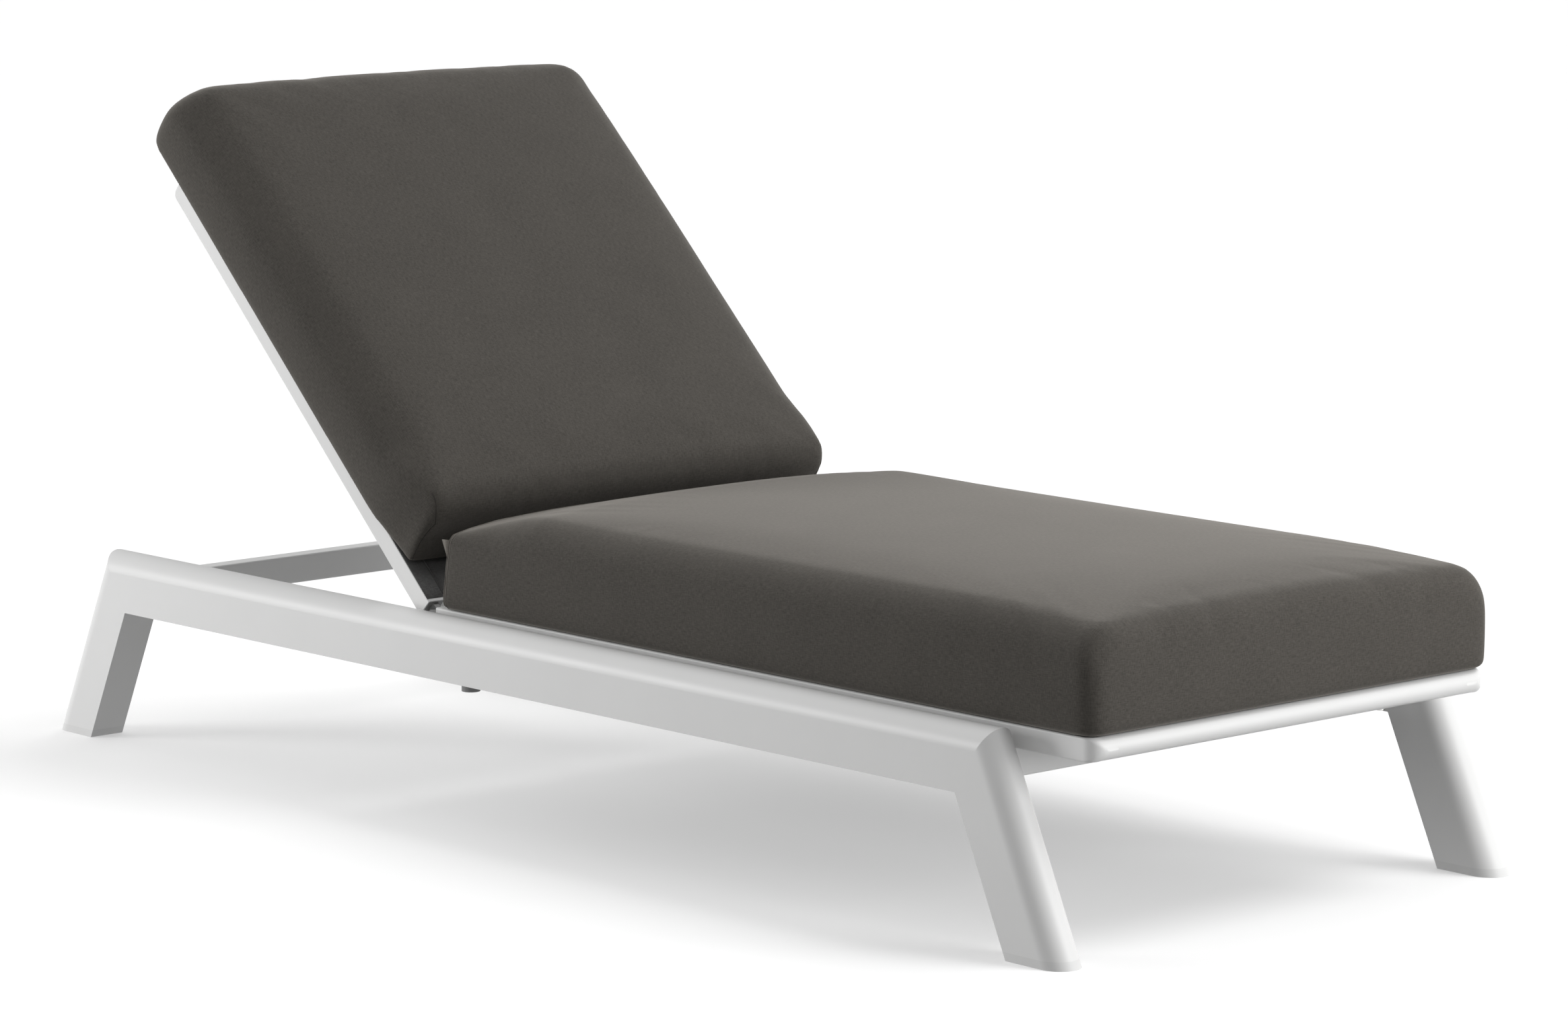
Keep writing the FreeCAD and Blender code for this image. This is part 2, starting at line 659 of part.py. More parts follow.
def hinge_pin(side, sign):
    """A headed pin, two washers beside the tongue and a nut."""
    middle = f"({sign} * {TUBE_MIDDLE})"
    at = ("hinge_x", "0")
    head_span = about(middle, f"{sign} * {FORK_OUT}", f"{sign} * ({FORK_OUT} + pin_head_thick)")
    nut_span = about(middle, f"-1 * {sign} * {FORK_OUT}", f"-1 * {sign} * ({FORK_OUT} + pin_head_thick)")
    shank = cross_rod(f"{side}_pin_shank", "pin_radius", *at, f"({FORK_OUT} + pin_head_thick)", middle, SEAT)
    head = disc(f"{side}_pin_head", "pin_head", at, head_span, SEAT)
    part(f"{side}_hinge_pin", fuse(f"{side}_hinge_pin", shank, head))
    nut = disc(f"{side}_nut_body", "pin_head", at, nut_span, SEAT)
    nut_bore = cross_rod(f"{side}_nut_bore", "pin_radius", *at, "tube", middle, SEAT)
    part(f"{side}_hinge_nut", cut(f"{side}_hinge_nut", nut, nut_bore))
    washers = []
    for number, way in enumerate(SIDES.values(), start=1):
        span = about(middle, f"{way} * tongue_leaf / 2", f"{way} * {FORK_IN}")
        plate = disc(f"{side}_washer_plate_{number}", "washer_radius", at, span, SEAT)
        bore = cross_rod(f"{side}_washer_bore_{number}", BUSH_IN, *at, "tube", middle, SEAT)
        washers.append(cut(f"{side}_washer_{number}", plate, bore))
    part(f"{side}_hinge_washers", group(f"{side}_hinge_washers", washers))


def disc(name, radius, at, span, frame):
    """A short round bar along Y between two planes given in either order."""
    low = f"min({span[0]}; {span[1]})"
    return rod(name, radius, (at[0], low, at[1]), f"abs(({span[1]}) - ({span[0]}))", "Y", frame)


for side, sign in SIDES.items():
    hinge_fork(side, sign)
    hinge_tongue(side, sign)
    hinge_pin(side, sign)


# Locking gas spring between a bracket under the middle crossbar and one under a back strut

CHEEK_IN = "(eye_width / 2 + eye_gap)"
CHEEK_OUT = f"({CHEEK_IN} + cheek)"
CHEEK_SPANS = ((CHEEK_IN, CHEEK_OUT), (f"-{CHEEK_OUT}", f"-{CHEEK_IN}"))
FOOT_WIDE = ("-foot_plate_width / 2", "foot_plate_width / 2")
EYE_BORE = "(pin_radius + running_gap)"


def spring_cheeks(name, reach, frame):
    """Two flat cheeks with round ends about a pin, standing up from it."""
    pieces = []
    width = ("-cheek_round", "cheek_round")
    for number, across in enumerate(CHEEK_SPANS, start=1):
        foot = ("0", across[0], "0")
        pieces.append(box(f"{name}_cheek_{number}", width, across, ("0", reach), frame))
        pieces.append(rod(f"{name}_round_{number}", "cheek_round", foot, "cheek", "Y", frame))
    return pieces


def bracket_pin(name, frame):
    """A pin with a head at both ends."""
    shank = cross_rod(f"{name}_shank", "pin_radius", "0", "0", CHEEK_OUT, "0", frame)
    heads = []
    for number, way in enumerate(SIDES.values(), start=1):
        span = (f"{way} * {CHEEK_OUT}", f"{way} * ({CHEEK_OUT} + pin_head_thick)")
        heads.append(disc(f"{name}_head_{number}", "pin_head", ("0", "0"), span, frame))
    part(name, fuse(name, shank, *heads))


def spring_foot_bracket():
    """The bracket that hangs from the middle crossbar."""
    name = "spring_foot_bracket"
    rise = f"({BAR_BOTTOM} - foot_plate - {SPRING_FOOT_Z})"
    run = f"({MID_BAR_X} - {SPRING_FOOT_X})"
    frame = placement((SPRING_FOOT_X, "0", SPRING_FOOT_Z), f"(atan({run} / {rise}) / 1deg)")
    cheeks = spring_cheeks(name, f"sqrt({run} ^ 2 + {rise} ^ 2) + cheek_round", frame)
    under = (f"{BAR_BOTTOM} - foot_plate", BAR_BOTTOM)
    above = box(f"{name}_above", ("-seat_reach", "seat_reach"), FOOT_WIDE, (under[0], "rail_top"))
    plate = box(f"{name}_plate", BARS["middle"], FOOT_WIDE, under)
    hole = cross_rod(f"{name}_hole", "pin_radius", "0", "0", CHEEK_OUT, "0", frame)
    trimmed = cut(f"{name}_trimmed", fuse(f"{name}_cheeks", *cheeks[:2]), above)
    other = cut(f"{name}_trimmed_other", fuse(f"{name}_other_cheeks", *cheeks[2:]), above)
    solid = fuse(f"{name}_solid", plate, trimmed, other)
    screws = screw_holes(f"{name}_screw_holes", MID_BAR_X, BAR_BOTTOM)
    part(name, cut(name, solid, hole, screws))
    bracket_pin("spring_foot_pin", frame)
    part("spring_foot_screws", spring_screws("spring_foot_screws", MID_BAR_X, BAR_BOTTOM))


def spring_head_bracket():
    """The bracket under the back's spring strut."""
    name = "spring_head_bracket"
    frame = within(BACK_OUTWARD, placement((SPRING_HEAD_X, "0", "-spring_drop")))
    cheeks = spring_cheeks(name, "spring_drop - tube / 2 - foot_plate", frame)
    plate = box(f"{name}_plate", ("-strut / 2", "strut / 2"), FOOT_WIDE,
                ("spring_drop - tube / 2 - foot_plate", "spring_drop - tube / 2"), frame)
    hole = cross_rod(f"{name}_hole", "pin_radius", "0", "0", CHEEK_OUT, "0", frame)
    screws = screw_holes(f"{name}_screw_holes", *HEAD_SCREWS, BACK_OUTWARD)
    part(name, cut(name, fuse(f"{name}_solid", plate, *cheeks), hole, screws))
    bracket_pin("spring_head_pin", frame)
    part("spring_head_screws", spring_screws("spring_head_screws", *HEAD_SCREWS, BACK_OUTWARD))


def spring_eye(name, x):
    """The flat eye at one end of the spring, and its bore."""
    eye = cross_rod(f"{name}_eye", "eye_radius", x, "0", "eye_width / 2", "0", SPRING)
    bore = cross_rod(f"{name}_bore", EYE_BORE, x, "0", "eye_width", "0", SPRING)
    return eye, bore


def spring_bar(name, radius, start, length):
    """A round bar along the spring's own line."""
    return rod(name, radius, (start, "0", "0"), length, "X", SPRING)


def gas_spring():
    """The pressure tube with its foot eye, and the rod with its piston and head eye."""
    eye, bore = spring_eye("gas_cylinder", "0")
    room_start = "cylinder_start + cylinder_wall"
    gland_start = "cylinder_end - gland_thick"
    shank = spring_bar("gas_cylinder_shank", "shank_radius", "0", room_start)
    shell = spring_bar("gas_cylinder_shell", "cylinder_radius", "cylinder_start",
                       "cylinder_end - cylinder_start")
    room = spring_bar("gas_cylinder_room", "cylinder_radius - cylinder_wall", room_start,
                      f"{gland_start} - ({room_start})")
    gland = spring_bar("gas_cylinder_gland", "rod_radius + slide_gap", f"{gland_start} - {PAST}",
                       f"gland_thick + 2 * {PAST}")
    solid = fuse("gas_cylinder_solid", eye, shank, shell)
    part("gas_cylinder", cut("gas_cylinder", solid, room, gland, bore))
    rod_start = f"({SPRING_SPAN} - rod_length)"
    head, head_bore = spring_eye("gas_rod", SPRING_SPAN)
    stem = spring_bar("gas_rod_stem", "rod_radius", rod_start, "rod_length")
    part("gas_rod", cut("gas_rod", fuse("gas_rod_solid", head, stem), head_bore))
    disc_radius = "cylinder_radius - cylinder_wall - slide_gap"
    piston = spring_bar("gas_piston_disc", disc_radius, rod_start, "piston_thick")
    piston_bore = spring_bar("gas_piston_bore", "rod_radius", f"{rod_start} - {PAST}",
                             f"piston_thick + 2 * {PAST}")
    part("gas_piston", cut("gas_piston", piston, piston_bore))


spring_foot_bracket()
spring_head_bracket()
gas_spring()


# Release knob: a plunger in a guide under the middle crossbar, pulled up to unlock the spring

KNOB_Y = f"(knob_inset - {RAIL_INNER})"
KNOB_BOTTOM = f"({BAR_BOTTOM} - knob_drop)"
ROD_RIM_EDGES = (1, 3)


def knob_bar(name, radius, low, length):
    """An upright round bar on the knob's axis."""
    return rod(name, radius, (MID_BAR_X, KNOB_Y, low), length)


def release_knob():
    """The fixed guide, and the knob on its stem."""
    guide_low = f"{BAR_BOTTOM} - guide_height"
    shell = knob_bar("guide_shell", "guide_radius", guide_low, "guide_height")
    bore = knob_bar("guide_bore", "stem_radius + running_gap", f"{guide_low} - {PAST}",
                    f"guide_height + 2 * {PAST}")
    part("release_guide", cut("release_guide", shell, bore))
    grip = knob_bar("knob_grip", "knob_radius", KNOB_BOTTOM, "knob_height")
    smooth = doc.addObject("Part::Fillet", "knob_smooth")
    smooth.Base = grip
    smooth.Edges = [(number, value("knob_round"), value("knob_round")) for number in ROD_RIM_EDGES]
    stem = knob_bar("knob_stem", "stem_radius", f"{KNOB_BOTTOM} + knob_height / 2",
                    "knob_height / 2 + stem_length")
    part("release_knob", fuse("release_knob", smooth, stem))


release_knob()


# Cushions: crowned lofts with swollen sides, drawn in between their corners

def arc(start, middle, end):
    """A round edge through three points."""
    return Part.Arc(start, middle, end).toShape()


HIP = 0.6
WAIST = 0.3
END_STEPS = 5
MIDDLE_STEPS = 8
CROWN_FADE = 0.7


def cushion_section(x, low, high, half, crown):
    """One closed outline across a cushion: swollen sides, round shoulders and a crown."""
    shoulder = value("cushion_shoulder")
    hip = half + value("cushion_swell") / 2
    swell = half + value("cushion_swell")
    hip_z = low + (high - low) * HIP
    waist_z = low + (high - low) * WAIST
    round_at = math.sqrt(0.5)

    def point(y, z):
        return FreeCAD.Vector(x, y, z)

    def side(way):
        return [arc(point(way * half, low), point(way * swell, waist_z), point(way * hip, hip_z)),
                arc(point(way * hip, hip_z),
                    point(way * (hip - shoulder * (1 - round_at)), hip_z + (high - hip_z) * round_at),
                    point(way * (hip - shoulder), high))]

    base = Part.LineSegment(point(-half, low), point(half, low)).toShape()
    roof = arc(point(hip - shoulder, high), point(0, high + crown), point(shoulder - hip, high))
    return Part.Wire([base, *side(1), roof, *reversed(side(-1))])


def cushion_stations(length, end_round):
    """Distances along a cushion: close together round both ends, wide apart between them."""
    quarter = [end_round * (1 - math.cos(math.pi / 2 * step / END_STEPS)) for step in range(END_STEPS)]
    plain = [end_round + (length - 2 * end_round) * step / MIDDLE_STEPS for step in range(MIDDLE_STEPS + 1)]
    return quarter + plain + [length - step for step in reversed(quarter)]


def cushion(label, span, low, thick, inset, droops, frame):
    """A cushion lofted along local X, rounded off at both ends and drawn in between its corners."""
    first, last = (value(end) for end in span)
    head_droop, foot_droop = (value(droop) for droop in droops)
    base = value(low)
    length = last - first
    full_half = value(f"{TUBE_OUTER} - {inset}")
    end_round = value("cushion_end_round")
    droop_reach = value("cushion_droop_reach")
    wires = []
    for step in cushion_stations(length, end_round):
        inward = min(step, length - step, end_round) / end_round
        curl = 1 - math.sqrt(1 - (1 - inward) ** 2)
        drawn = value("cushion_waist") * math.sin(math.pi * step / length)
        half = full_half - drawn - curl * value("cushion_corner")
        droop = (head_droop * max(0, 1 - step / droop_reach) ** 2
                 + foot_droop * max(0, 1 - (length - step) / droop_reach) ** 2)
        high = base + value(thick) - droop - curl * end_round
        wires.append(cushion_section(first + step, base + curl * value("cushion_hem"), high, half,
                                     value("cushion_crown") * (1 - curl * CROWN_FADE)))
    item = doc.addObject("Part::Feature", label)
    item.Shape = Part.makeLoft(wires, True, True)
    item.Placement = sheet.evalExpression(bound(frame))
    part(label, item)


cushion("seat_cushion", ("seat_cushion_rear", "seat_cushion_front"), f"{SEAT_TOP} + cushion_gap",
        "seat_cushion_thick", "seat_cushion_inset", ("seat_rear_droop", "seat_front_droop"), WORLD)
cushion("back_cushion", ("back_cushion_low", "back_cushion_high"), "tube / 2 + cushion_gap",
        "back_cushion_thick", "back_cushion_inset", ("back_end_droop", "back_end_droop"), BACK_OUTWARD)


# Check and export

doc.recompute()
failed = [item.Name for item in doc.Objects if {"Invalid", "Error"} & set(item.State)]
broken = [label for label, item in PARTS.items() if item.Shape.isNull() or not item.Shape.isValid()]
if failed or broken:
    raise SystemExit(f"failed objects {failed}, invalid shapes {broken}")
for label, item in PARTS.items():
    item.Shape.exportStep(f"parts/{label}.step")
    print(label, len(item.Shape.Solids), round(item.Shape.Volume))
print(len(PARTS), "sub-parts")
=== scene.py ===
import json
import math

import bmesh
import bpy
import numpy as np
from mathutils import Matrix, Vector


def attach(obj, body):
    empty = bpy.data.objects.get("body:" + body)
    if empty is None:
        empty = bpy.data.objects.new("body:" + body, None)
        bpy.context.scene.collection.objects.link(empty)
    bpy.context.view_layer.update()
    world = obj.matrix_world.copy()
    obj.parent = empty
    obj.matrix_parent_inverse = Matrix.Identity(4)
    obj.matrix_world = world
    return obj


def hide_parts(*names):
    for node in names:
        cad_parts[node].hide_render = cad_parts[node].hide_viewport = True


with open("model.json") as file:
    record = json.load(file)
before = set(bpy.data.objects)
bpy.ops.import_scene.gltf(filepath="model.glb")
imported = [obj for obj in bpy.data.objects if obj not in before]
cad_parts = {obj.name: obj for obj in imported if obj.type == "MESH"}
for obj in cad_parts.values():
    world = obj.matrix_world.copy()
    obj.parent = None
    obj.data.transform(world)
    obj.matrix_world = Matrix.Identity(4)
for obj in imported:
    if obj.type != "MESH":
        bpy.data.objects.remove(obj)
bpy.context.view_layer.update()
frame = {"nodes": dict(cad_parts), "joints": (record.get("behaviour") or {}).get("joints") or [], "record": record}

MM = 0.001
BACK_ANGLE = math.radians(44)
HINGE = Vector(next(joint["pos_m"] for joint in frame["joints"] if joint["name"] == "back_recline"))
WORLD_FRAME = Matrix.Identity(4)
# Local X of the back runs up the back from the hinge, and local Z is square to it
BACK_FRAME = (Matrix.Translation(HINGE) @ Matrix.Rotation(BACK_ANGLE, 4, "Y")
              @ Matrix.Rotation(math.pi, 4, "Z"))


# Shared helpers

def blended(first, second, share):
    """A value part of the way between two others."""
    return first + (second - first) * share


def smooth_step(share):
    """A share eased in and out."""
    share = min(1.0, max(0.0, share))
    return share * share * (3 - 2 * share)


def shaded(color, share):
    """A colour made lighter or darker by a share."""
    return tuple(min(1.0, channel * share) for channel in color)


def link_object(name, data):
    """A new object in the scene for a mesh, a light or a camera."""
    made = bpy.data.objects.new(name, data)
    bpy.context.scene.collection.objects.link(made)
    return made


# Shader helpers

def new_material(name, color, roughness, metallic=0.0):
    """A material with its main shader and its node tree."""
    material = bpy.data.materials.new(name)
    material.use_nodes = True
    tree = material.node_tree
    shader = tree.nodes["Principled BSDF"]
    shader.inputs["Base Color"].default_value = (*color, 1)
    shader.inputs["Roughness"].default_value = roughness
    shader.inputs["Metallic"].default_value = metallic
    return material, tree, shader


def add_node(tree, kind, values=(), **properties):
    """A node with its properties and its unlinked inputs set."""
    node = tree.nodes.new(kind)
    for key, value in properties.items():
        setattr(node, key, value)
    for key, value in dict(values).items():
        node.inputs[key].default_value = value
    return node


def object_coordinates(tree, stretch=(1, 1, 1)):
    """Object coordinates, stretched along each axis."""
    source = add_node(tree, "ShaderNodeTexCoord")
    mapping = add_node(tree, "ShaderNodeMapping", {"Scale": stretch})
    tree.links.new(source.outputs["Object"], mapping.inputs["Vector"])
    return mapping.outputs["Vector"]


def noise(tree, vector, scale, detail):
    """The value of a noise texture."""
    node = add_node(tree, "ShaderNodeTexNoise", {"Scale": scale, "Detail": detail})
    tree.links.new(vector, node.inputs["Vector"])
    return node.outputs["Fac"]


def math_node(tree, operation, first, second=None):
    """One arithmetic step on outputs or plain numbers."""
    node = add_node(tree, "ShaderNodeMath", operation=operation)
    for socket, value in zip(node.inputs, (first, second)):
        if isinstance(value, (int, float)):
            socket.default_value = value
        elif value is not None:
            tree.links.new(value, socket)
    return node.outputs["Value"]


def total_of(tree, values):
    """The sum of several values."""
    result = values[0]
    for value in values[1:]:
        result = math_node(tree, "ADD", result, value)
    return result


def ramp(tree, value, stops):
    """A colour from a value, through stops of place and colour."""
    node = add_node(tree, "ShaderNodeValToRGB")
    while len(node.color_ramp.elements) < len(stops):
        node.color_ramp.elements.new(0.5)
    for element, (place, color) in zip(node.color_ramp.elements, stops):
        element.position = place
        element.color = (*color, 1)
    tree.links.new(value, node.inputs["Fac"])
    return node.outputs["Color"]


def tint_by(tree, shader, value, color, darkest, lightest):
    """Makes the shader's colour follow a value between two shades."""
    tint = ramp(tree, value, [(0.3, shaded(color, darkest)), (0.7, shaded(color, lightest))])
    tree.links.new(tint, shader.inputs["Base Color"])


def roughness_by(tree, shader, value, at_zero, at_one):
    """Makes the shader's roughness follow a value."""
    node = add_node(tree, "ShaderNodeMapRange", {"To Min": at_zero, "To Max": at_one})
    tree.links.new(value, node.inputs["Value"])
    tree.links.new(node.outputs["Result"], shader.inputs["Roughness"])


def bump(tree, shader, height, distance, strength):
    """A height turned into the shader's normal."""
    node = add_node(tree, "ShaderNodeBump", {"Distance": distance, "Strength": strength})
    tree.links.new(height, node.inputs["Height"])
    tree.links.new(node.outputs["Normal"], shader.inputs["Normal"])


# Materials

FACING_POWER = 6.0
HEATHER_SHARE = 0.14


def coated_metal(name, color, roughness, grain):
    """Powder coat: fine orange peel, a faint mottle and slightly uneven gloss."""
    material, tree, shader = new_material(name, color, roughness)
    vector = object_coordinates(tree)
    peel = noise(tree, vector, scale=grain, detail=3.0)
    mottle = noise(tree, vector, scale=9.0, detail=4.0)
    tint_by(tree, shader, mottle, color, darkest=0.985, lightest=1.01)
    roughness_by(tree, shader, mottle, roughness - 0.05, roughness + 0.05)
    bump(tree, shader, peel, distance=0.00006, strength=0.5)
    return material


def moulded_plastic(name, color, roughness):
    """Moulded plastic with a fine spark-eroded grain."""
    material, tree, shader = new_material(name, color, roughness)
    vector = object_coordinates(tree)
    grain = noise(tree, vector, scale=2600.0, detail=2.0)
    flow = noise(tree, vector, scale=30.0, detail=2.0)
    tint_by(tree, shader, flow, color, darkest=0.97, lightest=1.02)
    roughness_by(tree, shader, grain, roughness - 0.06, roughness + 0.08)
    bump(tree, shader, grain, distance=0.00008, strength=0.5)
    return material


def turned_steel(name, color, roughness):
    """Plain plated steel with fine turning lines."""
    material, tree, shader = new_material(name, color, roughness, metallic=1.0)
    lines = noise(tree, object_coordinates(tree, stretch=(1, 40, 1)), scale=260.0, detail=3.0)
    tint_by(tree, shader, lines, color, darkest=0.88, lightest=1.06)
    roughness_by(tree, shader, lines, roughness - 0.08, roughness + 0.1)
    bump(tree, shader, lines, distance=0.00005, strength=0.3)
    return material


def cloth_planes(tree, turn):
    """Flat coordinates for each pair of a cushion's faces, and how much each face uses them."""
    source = add_node(tree, "ShaderNodeTexCoord")
    place = add_node(tree, "ShaderNodeMapping", {"Rotation": (0, turn, 0)})
    facing = add_node(tree, "ShaderNodeMapping", {"Rotation": (0, turn, 0)}, vector_type="NORMAL")
    tree.links.new(source.outputs["Object"], place.inputs["Vector"])
    tree.links.new(source.outputs["Normal"], facing.inputs["Vector"])
    spots = add_node(tree, "ShaderNodeSeparateXYZ")
    turns = add_node(tree, "ShaderNodeSeparateXYZ")
    tree.links.new(place.outputs["Vector"], spots.inputs["Vector"])
    tree.links.new(facing.outputs["Vector"], turns.inputs["Vector"])
    weights = {axis: math_node(tree, "POWER", math_node(tree, "ABSOLUTE", turns.outputs[axis]), FACING_POWER)
               for axis in "XYZ"}
    total = total_of(tree, list(weights.values()))
    planes = []
    for along, across, facing_axis in (("X", "Y", "Z"), ("X", "Z", "Y"), ("Y", "Z", "X")):
        share = math_node(tree, "DIVIDE", weights[facing_axis], total)
        planes.append((spots.outputs[along], spots.outputs[across], share))
    return planes


def streaks(tree, along, across, scale, length):
    """Slubby yarns that run one way."""
    pair = add_node(tree, "ShaderNodeCombineXYZ")
    tree.links.new(math_node(tree, "DIVIDE", along, length), pair.inputs["X"])
    tree.links.new(across, pair.inputs["Y"])
    node = add_node(tree, "ShaderNodeTexNoise", {"Scale": scale, "Detail": 2.0, "Roughness": 0.6},
                    noise_dimensions="2D")
    tree.links.new(pair.outputs["Vector"], node.inputs["Vector"])
    return node.outputs["Fac"]


def woven_cloth(name, color, turn, yarn, contrast, sheen):
    """Outdoor upholstery cloth: slubby yarns both ways, a soft heather and a fine nap."""
    material, tree, shader = new_material(name, color, roughness=0.9)
    shares = []
    for along, across, share in cloth_planes(tree, turn):
        warp = streaks(tree, along, across, 1 / yarn, length=7.0)
        weft = streaks(tree, across, along, 1 / yarn, length=5.0)
        both = math_node(tree, "MULTIPLY", math_node(tree, "ADD", warp, weft), 0.5)
        shares.append(math_node(tree, "MULTIPLY", both, share))
    yarns = total_of(tree, shares)
    heather = noise(tree, object_coordinates(tree), scale=14.0, detail=3.0)
    tone = total_of(tree, [math_node(tree, "MULTIPLY", yarns, 1 - HEATHER_SHARE),
                           math_node(tree, "MULTIPLY", heather, HEATHER_SHARE)])
    stops = [(0.34, shaded(color, 1 - contrast)), (0.5, color), (0.66, shaded(color, 1 + contrast))]
    tree.links.new(ramp(tree, tone, stops), shader.inputs["Base Color"])
    roughness_by(tree, shader, yarns, 0.98, 0.8)
    shader.inputs["Specular IOR Level"].default_value = 0.25
    shader.inputs["Sheen Weight"].default_value = sheen
    shader.inputs["Sheen Roughness"].default_value = 0.4
    shader.inputs["Sheen Tint"].default_value = (0.95, 0.9, 0.83, 1)
    bump(tree, shader, yarns, distance=0.0003, strength=0.4)
    return material


WHITE = (0.80, 0.80, 0.795)
CLOTH = (0.0705, 0.0645, 0.0565)
COAT_GRAIN = 900.0
# Widths of the yarns, in metres
YARN = 0.0012
FINE_YARN = 0.0008

COAT = coated_metal("white_powder_coat", WHITE, roughness=0.42, grain=COAT_GRAIN)
HINGE_GREY = coated_metal("grey_hinge_tone", (0.30, 0.30, 0.298), roughness=0.45, grain=COAT_GRAIN)
BLACK = coated_metal("black_cylinder_coat", (0.016, 0.016, 0.018), roughness=0.3, grain=700.0)
FOOT = moulded_plastic("white_moulded_foot", (0.76, 0.76, 0.755), roughness=0.5)
TYRE = moulded_plastic("grey_wheel_rubber", (0.36, 0.36, 0.355), roughness=0.7)
BEARING = moulded_plastic("black_bearing_plastic", (0.02, 0.02, 0.02), roughness=0.5)
KNOB = moulded_plastic("grey_knob_plastic", (0.26, 0.26, 0.26), roughness=0.5)
STEEL = turned_steel("plated_steel", (0.58, 0.58, 0.57), roughness=0.32)
SLING = woven_cloth("dark_sling_mesh", (0.15, 0.149, 0.147), turn=0.0, yarn=YARN, contrast=0.25, sheen=0.1)
SEAT_CLOTH = woven_cloth("seat_cushion_cloth", CLOTH, turn=0.0, yarn=YARN, contrast=0.28, sheen=0.3)
BACK_CLOTH = woven_cloth("back_cushion_cloth", CLOTH, turn=-BACK_ANGLE, yarn=YARN, contrast=0.28, sheen=0.3)
# A lighter copy of the cushion cloth for the seat's piping and stitches: real piping, with a painted highlight in
# its lighter tone
PIPING_HIGHLIGHT_CLOTH = woven_cloth("seam_binding_painted_highlight", shaded(CLOTH, 1.8), turn=0.0, yarn=FINE_YARN,
                         contrast=0.3, sheen=0.5)
# A half-dark copy of the cushion cloth, without sheen: painted shade along the back cushion's creases
CREASE_SHADE_CLOTH = woven_cloth("painted_crease_shade_cloth", shaded(CLOTH, 0.5), turn=0.0, yarn=FINE_YARN,
                           contrast=0.3, sheen=0.0)

SLOT_MATERIALS = {"powder_coat": COAT, "foot_plastic": FOOT, "wheel_rubber": TYRE, "steel": STEEL,
                  "black_steel": BLACK, "bearing_plastic": BEARING, "knob_plastic": KNOB, "sling": SLING,
                  "cushion": SEAT_CLOTH}


def paint(piece, material):
    """Gives a piece one material."""
    piece.data.materials.clear()
    piece.data.materials.append(material)


for entry in frame["record"]["subparts"]:
    paint(frame["nodes"][entry["node"]], SLOT_MATERIALS[entry["material_slot"]])
# The hinge pieces take a mid grey, darker than the frame's white
for hinge_side in ("right", "left"):
    paint(frame["nodes"][f"{hinge_side}_hinge_fork"], HINGE_GREY)
    paint(frame["nodes"][f"{hinge_side}_hinge_tongue"], HINGE_GREY)


# Mesh helpers

TUBE_SIDES = 10


def add_piece(name, verts, faces, material, slot, body, matrix=WORLD_FRAME):
    """A new smooth piece, made in a local frame, that rides on a body."""
    mesh = bpy.data.meshes.new(name)
    mesh.from_pydata([matrix @ Vector(v) for v in verts], [], faces)
    made = bmesh.new()
    made.from_mesh(mesh)
    bmesh.ops.recalc_face_normals(made, faces=made.faces)
    made.to_mesh(mesh)
    made.free()
    for polygon in mesh.polygons:
        polygon.use_smooth = True
    piece = link_object(name, mesh)
    paint(piece, material)
    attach(piece, body)
    return piece


def join_rings(rings, closed_path=False):
    """Vertices and faces of a skin over rings of equal length, with its ends closed."""
    count = len(rings[0])
    verts = [point for ring in rings for point in ring]
    faces = []
    steps = len(rings) if closed_path else len(rings) - 1
    for step in range(steps):
        here, there = step * count, (step + 1) % len(rings) * count
        for k in range(count):
            after = (k + 1) % count
            faces.append((here + k, here + after, there + after, there + k))
    if not closed_path:
        faces.append(tuple(range(count)))
        faces.append(tuple((len(rings) - 1) * count + k for k in reversed(range(count))))
    return verts, faces


def grid_faces(lines, count):
    """The faces between neighbouring lines of points, each line with the same count."""
    return [(a, a + 1, a + count + 1, a + count)
            for line in range(lines - 1) for a in range(line * count, line * count + count - 1)]


def tube(path, radius, closed=False):
    """A round tube along a path of points."""
    points = [Vector(p) for p in path]
    count = len(points)
    rings = []
    normal = None
    for k, point in enumerate(points):
        before = points[k - 1] if closed or k else points[k]
        after = points[(k + 1) % count] if closed or k < count - 1 else points[k]
        along = (after - before).normalized()
        if normal is None:
            normal = along.orthogonal().normalized()
        normal = (normal - along * normal.dot(along)).normalized()
        across = along.cross(normal)
        rings.append([point + normal * radius * math.cos(math.tau * j / TUBE_SIDES)
                      + across * radius * math.sin(math.tau * j / TUBE_SIDES) for j in range(TUBE_SIDES)])
    return join_rings(rings, closed_path=closed)


def merged(*shapes):
    """Several vertex and face lists as one."""
    verts, faces = [], []
    for more_verts, more_faces in shapes:
        start = len(verts)
        verts += [tuple(v) for v in more_verts]
        faces += [tuple(start + k for k in face) for face in more_faces]
    return verts, faces


def apply_all(piece):
    """Applies every modifier of a piece."""
    graph = bpy.context.evaluated_depsgraph_get()
    mesh = bpy.data.meshes.new_from_object(piece.evaluated_get(graph))
    piece.modifiers.clear()
    piece.data = mesh


def thicken(piece, thickness, offset):
    """Gives an open skin a thickness."""
    modifier = piece.modifiers.new("Thick", "SOLIDIFY")
    modifier.thickness = thickness
    modifier.offset = offset
    apply_all(piece)


# Cushion shapes

# Points along each part of half a cushion's section
BASE_POINTS = 12
HEM_POINTS = 6
SIDE_POINTS = 14
SHOULDER_POINTS = 14
TOP_STEPS = 24
SIDE_FOOT = BASE_POINTS + HEM_POINTS
SHOULDER_START = SIDE_FOOT + SIDE_POINTS
LEAST_SIDE = 0.004
SWELL_POWER = 0.8
SIDE_ONLY_POWER = 8

# Places of the sections along a cushion
END_TURNS = [1 - math.cos(math.radians(angle)) for angle in range(0, 91, 9)]
SEWN_END_PLACES = [0, 0.003, 0.008, 0.015, 0.025]
MIDDLE_PLACES = 32
LEAN_REACH = 0.05

